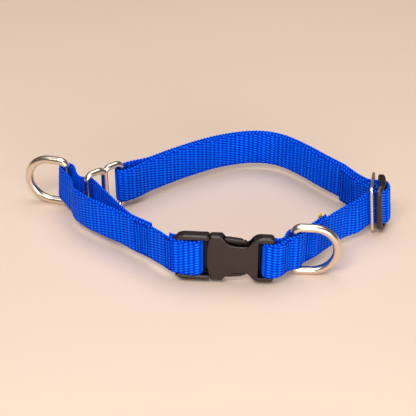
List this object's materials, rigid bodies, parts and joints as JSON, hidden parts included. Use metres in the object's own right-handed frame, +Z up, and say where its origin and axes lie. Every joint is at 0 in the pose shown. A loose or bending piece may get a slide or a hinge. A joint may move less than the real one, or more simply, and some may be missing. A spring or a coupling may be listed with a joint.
{
  "type": "martingale collar",
  "caption": "Limited slip webbing pet collar: a neck band with side release buckle, length adjuster and tag ring, drawn tight by a control loop with a leash ring.",
  "frame": {"origin": "middle of the neck loop, on the plane the collar rests on", "axes": "+X from the leash ring towards the length adjuster, +Y from the buckle towards the back of the neck loop, +Z up, across the webbing's width"},
  "size_m": [0.1816, 0.1026, 0.028],
  "materials": {
    "webbing": "bright royal blue flat nylon webbing, coarse plain weave",
    "sewing_thread": "blue bonded thread",
    "buckle_plastic": "fine-grained black brown acetal",
    "nickel_wire": "polished nickel plate",
    "nickel_plate": "nickel plated stamping",
    "tab_fabric": "yellow woven tape"
  },
  "bodies": {
    "neck_band": {"neck_strap_front": "webbing", "neck_strap_back": "webbing", "buckle_housing": "buckle_plastic", "care_tab": "tab_fabric", "tag_ring_tacks": "sewing_thread"},
    "tag_ring": {"tag_ring": "nickel_wire"},
    "adjuster": {"metal_slide": "nickel_plate", "plastic_slide": "buckle_plastic", "running_strap_loop": "webbing", "sewn_end_loop": "webbing", "sewn_end_tack": "sewing_thread"},
    "control_loop": {"buckle_male_frame": "buckle_plastic", "control_strap": "webbing", "control_end_tacks": "sewing_thread", "male_bar_tack": "sewing_thread"},
    "latch_upper": {"latch_arm_upper": "buckle_plastic"},
    "latch_lower": {"latch_arm_lower": "buckle_plastic"},
    "leash_ring": {"leash_ring": "nickel_wire"},
    "neck_end": {"neck_strap_fold": "webbing"},
    "double_ring": {"double_loop_ring": "nickel_wire"}
  },
  "joints": [
    {"name": "buckle_release", "type": "slide", "parent": "neck_band", "child": "control_loop", "axis": [-0.9973, 0.0732, 0], "range_m": [0, 0.022]},
    {"name": "latch_upper_squeeze", "type": "hinge", "parent": "control_loop", "child": "latch_upper", "pos_m": [-0.01033, -0.04598, 0.0205], "axis": [0.0732, 0.9973, 0], "range_deg": [0, 6], "stiffness_Nm_per_rad": 0.0006},
    {"name": "latch_lower_squeeze", "type": "hinge", "parent": "control_loop", "child": "latch_lower", "pos_m": [-0.01033, -0.04598, 0.0075], "axis": [-0.0732, -0.9973, 0], "range_deg": [0, 6], "stiffness_Nm_per_rad": 0.0006},
    {"name": "leash_ring_swing", "type": "hinge", "parent": "control_loop", "child": "leash_ring", "pos_m": [-0.083, 0.0152, 0.014], "axis": [0, 0, 1], "range_deg": [-80, 60]},
    {"name": "martingale_cinch", "type": "slide", "parent": "control_loop", "child": "neck_end", "axis": [0.5446, -0.8387, 0], "range_m": [0, 0.02]},
    {"name": "double_ring_pivot", "type": "hinge", "parent": "neck_end", "child": "double_ring", "pos_m": [-0.055, 0.014, 0.014], "axis": [0, 0, 1], "range_deg": [-3, 8]},
    {"name": "tag_ring_swing", "type": "hinge", "parent": "neck_band", "child": "tag_ring", "pos_m": [0.0274, -0.0412, 0.014], "axis": [0, 0, -1], "range_deg": [-3, 95]},
    {"name": "adjuster_slide", "type": "slide", "parent": "neck_band", "child": "adjuster", "axis": [0.1994, 0.9799, 0], "range_m": [-0.005, 0.005]}
  ],
  "couplings": [
    {"joint": "latch_lower_squeeze", "follows": "latch_upper_squeeze", "ratio": 1}
  ]
}
